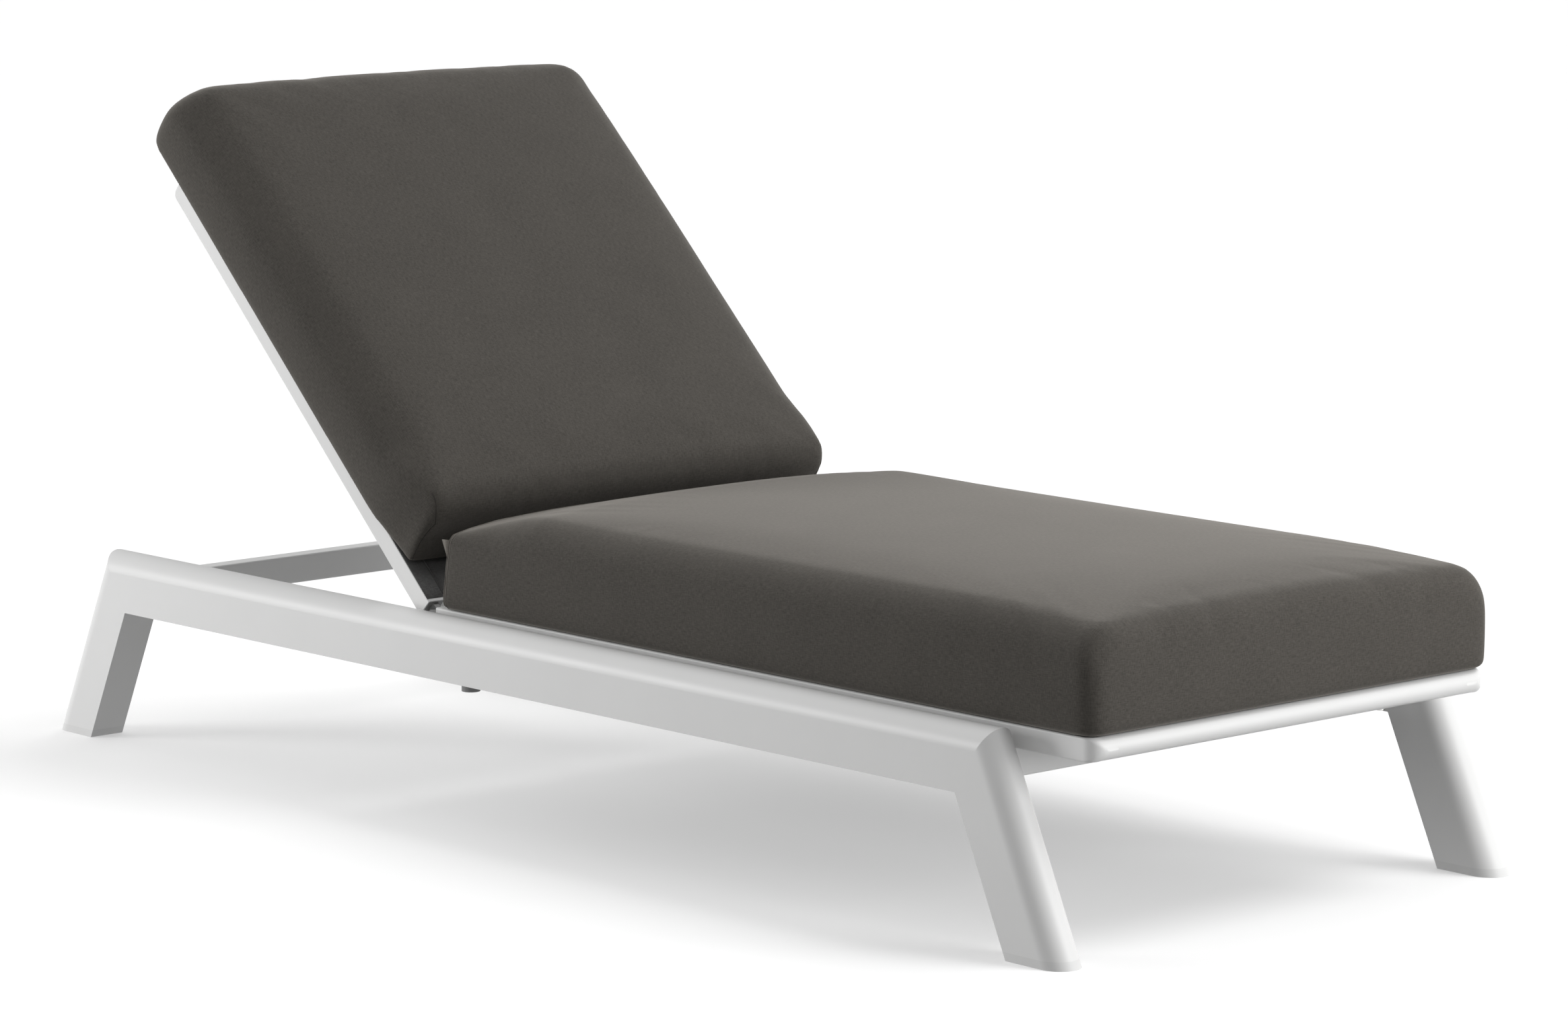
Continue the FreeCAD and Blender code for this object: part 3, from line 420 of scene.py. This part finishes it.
# Both shapes are in metres, from the near end beside the hinge (start) to the far end. low is the height of
# the base. roof and corner round an end off from above and in plan. pinch draws the near end's top down,
# lean tilts that end and taper narrows it. power flattens a curve. reach is the length that a change takes.
SEAT_SHAPE = {
    "start": -0.1908, "length": 1.160, "half": 0.338, "low": 0.2580, "thick": 0.130,
    "shoulder": 0.042, "crown": 0.013, "power": 2.3, "swell": 0.002, "base_round": 0.008,
    "far_roof": 0.033, "far_power": 2.5, "far_corner": 0.026, "far_droop": 0.009, "droop_reach": 0.25,
    "near_roof": 0.0, "near_corner": 0.0, "near_taper": 0.0, "taper_reach": 0.1, "lean": 0.020,
    "pinch": 0.033, "pinch_crown": 0.005, "pinch_power": 4.25, "pinch_reach": 0.175,
    "pinch_shoulder": 0.010, "shoulder_reach": 0.12}
BACK_SHAPE = {
    "start": 0.073, "length": 0.743, "half": 0.3435, "low": 0.0154, "thick": 0.115,
    "shoulder": 0.044, "crown": 0.0125, "power": 2.4, "swell": 0.008, "base_round": 0.008,
    "far_roof": 0.041, "far_power": 2.4, "far_corner": 0.037, "far_droop": 0.008, "droop_reach": 0.35,
    "near_roof": 0.034, "near_corner": 0.006, "near_taper": 0.014, "taper_reach": 0.095, "lean": 0.006,
    "pinch": 0.0, "pinch_crown": 0.0, "pinch_power": 2.4, "pinch_reach": 0.10,
    "pinch_shoulder": 0.008, "shoulder_reach": 0.13}


def round_in(distance, radius, power=2.0):
    """How far a rounded end draws in at a distance from its tip."""
    if distance >= radius:
        return 0.0
    return radius * (1 - (1 - (1 - distance / radius) ** power) ** (1 / power))


def half_section(half, low, high, shape, shoulder, crown, power):
    """Half of a closed section: flat base, swollen side, round shoulder and domed top."""
    edge = shape["base_round"]
    tall = high - low
    shoulder = min(shoulder, tall - edge - LEAST_SIDE)
    hip = high - shoulder
    inner = half - shoulder
    points = [((half - edge) * k / BASE_POINTS, low) for k in range(BASE_POINTS)]
    for k in range(HEM_POINTS):
        angle = math.pi / 2 * k / HEM_POINTS
        points.append((half - edge * (1 - math.sin(angle)), low + edge * (1 - math.cos(angle))))
    for k in range(SIDE_POINTS):
        points.append((half, low + edge + (hip - low - edge) * k / SIDE_POINTS))
    for k in range(SHOULDER_POINTS):
        angle = math.pi / 2 * k / SHOULDER_POINTS
        y = inner + shoulder * math.cos(angle)
        points.append((y, hip + shoulder * math.sin(angle) + crown * (1 - (y / half) ** power)))
    for k in range(TOP_STEPS + 1):
        y = inner * (1 - k / TOP_STEPS)
        points.append((y, high + crown * (1 - (y / half) ** power)))
    swelling = [shape["swell"] * math.sin(math.pi * min(1.0, max(0.0, (z - low) / tall))) ** SWELL_POWER
                for y, z in points]
    return [(y + extra * (y / half) ** SIDE_ONLY_POWER, z) for (y, z), extra in zip(points, swelling)]


def stations(shape):
    """Distances along a cushion, close together where it turns in at its ends."""
    far = max(shape["far_roof"], shape["far_corner"])
    near = max(shape["near_roof"], shape["near_corner"])
    first = [near * turn for turn in END_TURNS] if near else SEWN_END_PLACES
    last = [shape["length"] - far * turn for turn in reversed(END_TURNS)]
    return first + list(np.linspace(first[-1], last[0], MIDDLE_PLACES))[1:-1] + last


def cushion_rings(shape, extra_crown):
    """The sections of a cushion from its hinge end to its far end."""
    rings = []
    for x in stations(shape):
        left = shape["length"] - x
        settled = smooth_step(x / shape["pinch_reach"])
        droop = shape["far_droop"] * max(0.0, 1 - left / shape["droop_reach"]) ** 2
        roof = round_in(left, shape["far_roof"], shape["far_power"]) + round_in(x, shape["near_roof"])
        plan = round_in(left, shape["far_corner"]) + round_in(x, shape["near_corner"])
        plan += shape["near_taper"] * (1 - smooth_step(x / shape["taper_reach"]))
        high = shape["low"] + shape["thick"] - droop - roof - shape["pinch"] * (1 - settled)
        crown = shape["crown"] + extra_crown + shape["pinch_crown"] * (1 - settled)
        shoulder = blended(shape["pinch_shoulder"], shape["shoulder"],
                           smooth_step(x / shape["shoulder_reach"]))
        power = blended(shape["pinch_power"], shape["power"], settled)
        hem = round_in(left, shape["base_round"])
        right = half_section(shape["half"] - plan, shape["low"] + hem, high, shape, shoulder, crown, power)
        section = right + [(-y, z) for y, z in reversed(right[1:-1])]
        lean = shape["lean"] * (1 - smooth_step(x / LEAN_REACH))
        rings.append([(shape["start"] + x + lean * (z - shape["low"]) / shape["thick"], y, z)
                      for y, z in section])
    return rings


# Cushion covers

REMESH_SIZE = 6 * MM
SWELL_LIMIT = 6 * MM
SWELL_FRAMES = 20
HELD_END = 0.010
HELD_BASE = 0.006
SMOOTHING_PASSES = 3


def swell(piece, held):
    """Inflates a closed cover like stuffed cloth and keeps the share of it that fits a limit."""
    rest = np.array([v.co for v in piece.data.vertices])
    group = piece.vertex_groups.new(name="held")
    group.add([index for index, point in enumerate(rest) if held(Vector(point))], 1.0, "REPLACE")
    cloth = piece.modifiers.new("Cloth", "CLOTH")
    cloth.settings.quality = 3
    cloth.settings.vertex_group_mass = "held"
    cloth.settings.use_pressure = True
    cloth.settings.uniform_pressure_force = 4
    cloth.settings.tension_stiffness = 60
    cloth.settings.compression_stiffness = 60
    cloth.settings.shear_stiffness = 20
    cloth.settings.bending_stiffness = 5
    cloth.settings.effector_weights.gravity = 0
    cloth.point_cache.frame_start = 1
    cloth.point_cache.frame_end = SWELL_FRAMES
    for number in range(1, SWELL_FRAMES + 1):
        bpy.context.scene.frame_set(number)
    graph = bpy.context.evaluated_depsgraph_get()
    blown = piece.evaluated_get(graph).to_mesh()
    moved = np.array([v.co for v in blown.vertices]) - rest
    piece.evaluated_get(graph).to_mesh_clear()
    piece.modifiers.clear()
    bpy.context.scene.frame_set(1)
    furthest = np.linalg.norm(moved, axis=1).max()
    settled = rest + moved * SWELL_LIMIT / furthest
    piece.data.vertices.foreach_set("co", settled.astype(np.float32).ravel())
    piece.data.update()


def remesh(piece):
    """Evens out a closed mesh."""
    modifier = piece.modifiers.new("Remesh", "REMESH")
    modifier.mode = "VOXEL"
    modifier.voxel_size = REMESH_SIZE
    modifier.use_smooth_shade = True
    apply_all(piece)


def relax(piece):
    """Smooths a mesh and divides it once."""
    modifier = piece.modifiers.new("Smooth", "SMOOTH")
    modifier.factor = 0.5
    modifier.iterations = SMOOTHING_PASSES
    divided = piece.modifiers.new("Divide", "SUBSURF")
    divided.levels = 1
    divided.render_levels = 1
    apply_all(piece)
    for polygon in piece.data.polygons:
        polygon.use_smooth = True


def make_cushion(name, node, shape, matrix, material, body):
    """A filled cushion, with the sections that it was made from."""
    rings = cushion_rings(shape, 0.0)
    piece = add_piece(name, *join_rings(rings), material, "cushion", body, matrix)
    remesh(piece)
    to_local = matrix.inverted()

    def held(point):
        """Whether a point is on the base or on a sewn end, which don't swell."""
        local = to_local @ point
        lean = shape["lean"] * (local.z - shape["low"]) / shape["thick"]
        on_seam = local.x - shape["start"] - lean < HELD_END and shape["near_roof"] == 0
        return on_seam or local.z - shape["low"] < HELD_BASE

    swell(piece, held)
    relax(piece)
    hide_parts(node)
    return piece, [[matrix @ Vector(point) for point in ring] for ring in rings]


# Seams on the finished covers

PIPING_RADIUS = 1.0 * MM
PIPING_LIFT = 0.3 * MM
SEAM_RADIUS = 0.5 * MM
STITCH_INSET = Vector((5 * MM, 0, 0))
STITCH_LIFT = 0.1 * MM
# A tuck starts at the edge's point nearest this height. Its corners are offsets from there, for positive Y.
TUCK_HEIGHT = 0.345
TUCK_SIDE_MIN = 0.2
TUCK_TIP = (-20 * MM, -4 * MM, 1 * MM)
TUCK_FOOT = (-3 * MM, 0, -24 * MM)
TUCK_TOP = (0, 0, 3 * MM)
TUCK_THICKNESS = (0, 1.2 * MM, 0)
# The back's corner seams turn onto its shoulder and run past this many sections
SEAM_TURN = SHOULDER_START + 4
SEAM_SECTIONS = 10


def mirrored(offset, side):
    """An offset turned to a side."""
    return Vector((offset[0], offset[1] * side, offset[2]))


def side_point(ring, place, side):
    """A point of a section on one side."""
    return ring[place if side > 0 else -place]


def on_surface(cover, points, lift):
    """Points brought onto a finished cover."""
    moved = []
    for point in points:
        _, spot, normal, _ = cover.closest_point_on_mesh(point)
        moved.append(spot + normal * lift)
    return moved


def evened(points):
    """A closed line of points with its small jumps taken out."""
    count = len(points)
    return [(points[k - 1] + points[k] * 2 + points[(k + 1) % count]) / 4 for k in range(count)]


def tuck(edge, side):
    """A thin fold at a top corner of a piped edge."""
    on_side = [point for point in edge if point.y * side > TUCK_SIDE_MIN]
    corner = min(on_side, key=lambda point: abs(point.z - TUCK_HEIGHT))
    outer = [corner + mirrored(offset, side) for offset in (TUCK_TIP, TUCK_FOOT, TUCK_TOP)]
    inner = [point - mirrored(TUCK_THICKNESS, side) for point in outer]
    return outer + inner, [(0, 1, 2), (5, 4, 3), (0, 3, 4, 1), (1, 4, 5, 2), (2, 5, 3, 0)]


def add_seat_seams(cover, rings):
    """Piping round the sewn end of the seat cushion, its stitch line, and a tuck at each top corner, all in a
    lighter cloth that paints a highlight along the seam.
    """
    edge = evened(on_surface(cover, rings[0], PIPING_LIFT))
    stitches = evened(on_surface(cover, [point + STITCH_INSET for point in rings[1]], STITCH_LIFT))
    lines = [tube(edge, PIPING_RADIUS, closed=True), tube(stitches, SEAM_RADIUS, closed=True)]
    lines += [tuck(edge, side) for side in (-1, 1)]
    add_piece("seat_cushion_piping", *merged(*lines), PIPING_HIGHLIGHT_CLOTH, "cushion", "frame")


def add_back_seams(cover, rings):
    """The corner seams of the back cushion's lower end, which run out along its front edges, in a half-dark cloth
    that paints the shade of the crease.
    """
    lines = []
    for side in (-1, 1):
        upright = [side_point(rings[0], place, side) for place in range(SIDE_FOOT, SHOULDER_START)]
        along = [side_point(ring, SEAM_TURN, side) for ring in rings[:SEAM_SECTIONS]]
        lines.append(tube(on_surface(cover, upright + along, 0.0), SEAM_RADIUS))
    add_piece("back_cushion_seams", *merged(*lines), CREASE_SHADE_CLOTH, "cushion", "backrest")


add_seat_seams(*make_cushion("seat_cushion_cover", "seat_cushion", SEAT_SHAPE, WORLD_FRAME,
                             SEAT_CLOTH, "frame"))
add_back_seams(*make_cushion("back_cushion_cover", "back_cushion", BACK_SHAPE, BACK_FRAME,
                             BACK_CLOTH, "backrest"))


# Stretched panels

PANEL_COLUMNS = 60
PANEL_ROWS = 24
PANEL_DIP = 2.5 * MM
PANEL_THICKNESS = 0.9 * MM
WELT_RADIUS = 1.8 * MM
NEAR = 1e-9
WRAP_LINES = 24
WRAP_START = 4 * MM
WRAP_THICKNESS = 0.3 * MM
WRAP_GAP = 0.5 * MM
# Section of a wrap: distances in from a tube's inner or outer side, and heights over its front face, in mm
WRAP_INNER = ((-0.5, -2.5), (0.4, -0.3), (2.5, 0.5))
WRAP_OUTER = ((2.5, 0.5), (1.05, 0.05), (0.3, -0.6))


def local_box(node, matrix):
    """A node's lowest and highest corners in a local frame."""
    to_local = matrix.inverted()
    corners = [to_local @ v.co for v in frame["nodes"][node].data.vertices]
    return tuple(Vector(pick(c[axis] for c in corners) for axis in range(3)) for pick in (min, max))


def add_tube_wraps(name, tubes, level, body, matrix):
    """The sling's edges, drawn up over the front faces of the side tubes."""
    strips = []
    for node in tubes:
        low, high = local_box(node, matrix)
        side = 1 if low.y > 0 else -1
        inner, outer = (low.y, high.y) if side > 0 else (high.y, low.y)
        profile = [(inner - side * WRAP_GAP, level)]
        profile += [(inner + side * inward * MM, high.z + rise * MM) for inward, rise in WRAP_INNER]
        profile += [(outer - side * inward * MM, high.z + rise * MM) for inward, rise in WRAP_OUTER]
        places = np.linspace(low.x + WRAP_START, high.x, WRAP_LINES)
        strips.append(([(x, y, z) for x in places for y, z in profile], grid_faces(WRAP_LINES, len(profile))))
    piece = add_piece(name, *merged(*strips), SLING, "sling", body, matrix)
    thicken(piece, WRAP_THICKNESS, offset=0)
    return piece


def make_panel(name, node, body, matrix, supports, wrapped=()):
    """A mesh panel stretched in a frame, dipping a little between its struts."""
    low, high = local_box(node, matrix)
    stops = sorted([low.x, high.x, *supports])
    verts = []
    for i in range(PANEL_COLUMNS + 1):
        x = low.x + (high.x - low.x) * i / PANEL_COLUMNS
        before = max(stop for stop in stops if stop <= x + NEAR)
        after = min(stop for stop in stops if stop >= x - NEAR)
        share = (x - before) / (after - before) if after > before else 0.0
        for j in range(PANEL_ROWS + 1):
            y = low.y + (high.y - low.y) * j / PANEL_ROWS
            dip = PANEL_DIP * math.sin(math.pi * share) ** 2 * math.sin(math.pi * j / PANEL_ROWS) ** 0.5
            verts.append((x, y, high.z - dip))
    faces = grid_faces(PANEL_COLUMNS + 1, PANEL_ROWS + 1)
    piece = add_piece(name, verts, faces, SLING, "sling", body, matrix)
    thicken(piece, PANEL_THICKNESS, offset=-1)
    welts = [tube([(low.x, side, high.z), (high.x, side, high.z)], WELT_RADIUS)
             for side in (low.y + WELT_RADIUS, high.y - WELT_RADIUS)]
    extras = [add_piece(f"{name}_welts", *merged(*welts), SLING, "sling", body, matrix)]
    if wrapped:
        extras.append(add_tube_wraps(f"{name}_edges", wrapped, high.z, body, matrix))
    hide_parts(node)


def strut_middles(names, matrix):
    """Where struts cross a frame, along its local X."""
    boxes = [local_box(name, matrix) for name in names]
    return [(low.x + high.x) / 2 for low, high in boxes]


make_panel("seat_sling", "seat_panel", "frame", WORLD_FRAME,
           strut_middles(["seat_strut_1", "seat_strut_2", "seat_strut_3"], WORLD_FRAME))
make_panel("back_sling", "back_panel", "backrest", BACK_FRAME,
           strut_middles(["back_lower_tube", "back_spring_strut", "back_upper_strut"], BACK_FRAME),
           wrapped=("right_back_tube", "left_back_tube"))


# Ground welds at the far corners of the seat's and the back's frames

TUBE_HALF = 14 * MM
CORNER_TURN = 20 * MM
EDGE_ROUND = 2.5 * MM
NOSE_START = 5 * MM
NOSE_STEPS = 10
WELD_PROUD = 0.12 * MM
WELD_SUNK = -0.03 * MM
WELD_STEPS = 20
# Past the corner's turn, a weld fades out along both tubes
FADE = 24 * MM
FADE_STEPS = 8
FADE_SHARE = 0.4


def nose_section(rounding, proud):
    """A closed section of the end rail's nose: height against distance from the corner's axis."""
    points = [(NOSE_START, TUBE_HALF + proud)]
    for k in range(NOSE_STEPS + 1):
        angle = math.pi / 2 * (1 - k / NOSE_STEPS)
        points.append((CORNER_TURN - rounding + (rounding + proud) * math.cos(angle),
                       TUBE_HALF - rounding + (rounding + proud) * math.sin(angle)))
    return points + [(r, -z) for r, z in reversed(points)]


def corner_weld(reach, outer, side):
    """A skin that eases a square side tube into the half-round rail across its end."""
    rings = []
    for k in range(-FADE_STEPS, WELD_STEPS + FADE_STEPS + 1):
        share = k / WELD_STEPS
        ends = min(1 + share / FADE_SHARE, (1 + FADE_SHARE - share) / FADE_SHARE)
        proud = blended(WELD_SUNK, WELD_PROUD, smooth_step(ends))
        rounding = blended(EDGE_ROUND, TUBE_HALF, smooth_step(share))
        turn = math.pi / 2 * min(1.0, max(0.0, share))
        before = FADE / FADE_SHARE * min(0.0, share)
        after = FADE / FADE_SHARE * max(0.0, share - 1)
        rings.append([(reach - CORNER_TURN + before + r * math.sin(turn),
                       side * (outer - CORNER_TURN - after + r * math.cos(turn)), z)
                      for r, z in nose_section(rounding, proud)])
    return join_rings(rings)


def add_corner_welds(name, rail, tube_node, body, matrix):
    """The welds at both corners of a frame."""
    reach = local_box(rail, matrix)[1].x
    low, high = local_box(tube_node, matrix)
    outer = max(abs(low.y), abs(high.y))
    middle = Matrix.Translation((0, 0, (low.z + high.z) / 2))
    skins = [corner_weld(reach, outer, side) for side in (-1, 1)]
    add_piece(name, *merged(*skins), COAT, "powder_coat", body, matrix @ middle)


add_corner_welds("seat_frame_corner_welds", "seat_front_rail", "right_seat_tube", "frame", WORLD_FRAME)
add_corner_welds("back_frame_corner_welds", "back_top_rail", "right_back_tube", "backrest", BACK_FRAME)


# Floor, lights and camera

FLOOR_HALF = 60
FLOOR_COLOR = (0.75, 0.75, 0.75)
FLOOR_GLOW = 0.335
BACKDROP_RADIUS = 55
LAMP_SIZE = 1.6
SUN_SPREAD = 30
TOWARD_CAMERA = (0.74, -0.67, 0.0)
CAMERA_PLACE = Vector((5.416, -4.805, 1.488))
CAMERA_AHEAD = Vector((-0.7342, 0.6613, -0.1537))
CAMERA_LENS = 131.99
CAMERA_REACH = 200


def aimed(direction):
    """The rotation that turns a lamp or a camera toward a direction."""
    return direction.to_track_quat("-Z", "Y").to_euler()


def add_glow(shader, strength):
    """Makes a surface give off white light."""
    shader.inputs["Emission Color"].default_value = (1, 1, 1, 1)
    shader.inputs["Emission Strength"].default_value = strength


def make_floor():
    """A wide pale floor that glows a little and takes the shadow."""
    material, _, shader = new_material("pale_floor", FLOOR_COLOR, roughness=0.95)
    shader.inputs["Specular IOR Level"].default_value = 0.0
    add_glow(shader, FLOOR_GLOW)
    corners = [(x * FLOOR_HALF, y * FLOOR_HALF, 0) for x, y in ((-1, -1), (1, -1), (1, 1), (-1, 1))]
    mesh = bpy.data.meshes.new("floor")
    mesh.from_pydata(corners, [], [(0, 1, 2, 3)])
    floor = link_object("floor", mesh)
    floor.visible_diffuse = False
    floor.visible_shadow = False
    paint(floor, material)


def make_backdrop():
    """A plain white backdrop all round, which only the camera sees."""
    material, _, shader = new_material("white_backdrop", (0, 0, 0), roughness=1.0)
    add_glow(shader, 1.0)
    mesh = bpy.data.meshes.new("backdrop")
    made = bmesh.new()
    bmesh.ops.create_icosphere(made, subdivisions=3, radius=BACKDROP_RADIUS)
    made.to_mesh(mesh)
    made.free()
    backdrop = link_object("backdrop", mesh)
    backdrop.visible_diffuse = False
    backdrop.visible_glossy = False
    backdrop.visible_shadow = False
    paint(backdrop, material)


def add_light(name, place, target, energy):
    """A square area light aimed at a point."""
    light = bpy.data.lights.new(name, "AREA")
    light.shape = "SQUARE"
    light.size = LAMP_SIZE
    light.energy = energy
    lamp = link_object(name, light)
    lamp.location = place
    lamp.rotation_euler = aimed(Vector(target) - Vector(place))


def add_sun(name, direction, strength):
    """A broad far light that shines from a direction."""
    light = bpy.data.lights.new(name, "SUN")
    light.energy = strength
    light.angle = math.radians(SUN_SPREAD)
    lamp = link_object(name, light)
    lamp.rotation_euler = aimed(-Vector(direction))


def make_world(above, behind, below):
    """White light from above, less of it from behind the camera, and the floor's own light from below."""
    world = bpy.data.worlds.new("surround")
    bpy.context.scene.world = world
    world.use_nodes = True
    tree = world.node_tree
    source = add_node(tree, "ShaderNodeTexCoord")
    toward = add_node(tree, "ShaderNodeVectorMath", {1: TOWARD_CAMERA}, operation="DOT_PRODUCT")
    tree.links.new(source.outputs["Generated"], toward.inputs[0])
    axes = add_node(tree, "ShaderNodeSeparateXYZ")
    tree.links.new(source.outputs["Generated"], axes.inputs["Vector"])
    upper = add_node(tree, "ShaderNodeMapRange",
                     {"From Min": -0.2, "From Max": 0.6, "To Min": above, "To Max": behind})
    tree.links.new(toward.outputs["Value"], upper.inputs["Value"])
    ground = add_node(tree, "ShaderNodeMapRange",
                      {"From Min": -0.12, "From Max": 0.04, "To Min": 1.0, "To Max": 0.0})
    tree.links.new(axes.outputs["Z"], ground.inputs["Value"])
    rise = math_node(tree, "SUBTRACT", below, upper.outputs["Result"])
    change = math_node(tree, "MULTIPLY", rise, ground.outputs["Result"])
    level = math_node(tree, "ADD", upper.outputs["Result"], change)
    background = tree.nodes["Background"]
    background.inputs["Color"].default_value = (1, 1, 1, 1)
    tree.links.new(level, background.inputs["Strength"])


def make_camera():
    """The photograph's own view."""
    data = bpy.data.cameras.new("camera")
    data.lens = CAMERA_LENS
    data.clip_end = CAMERA_REACH
    camera = link_object("camera", data)
    camera.location = CAMERA_PLACE
    camera.rotation_euler = aimed(CAMERA_AHEAD)
    bpy.context.scene.camera = camera


make_floor()
make_backdrop()
make_world(above=0.76, behind=0.30, below=0.25)
add_sun("key", direction=(0.30, 0.45, 0.85), strength=1.02)
add_sun("rear_rim", direction=(-0.45, 0.75, 0.50), strength=0.22)
add_light("left_fill", place=(-3.2, -3.4, 1.0), target=(-0.3, 0.0, 0.25), energy=90)
add_light("right_fill", place=(3.4, 1.0, 0.9), target=(0.6, 0.0, 0.25), energy=50)
make_camera()
bpy.context.scene.view_settings.view_transform = "Standard"
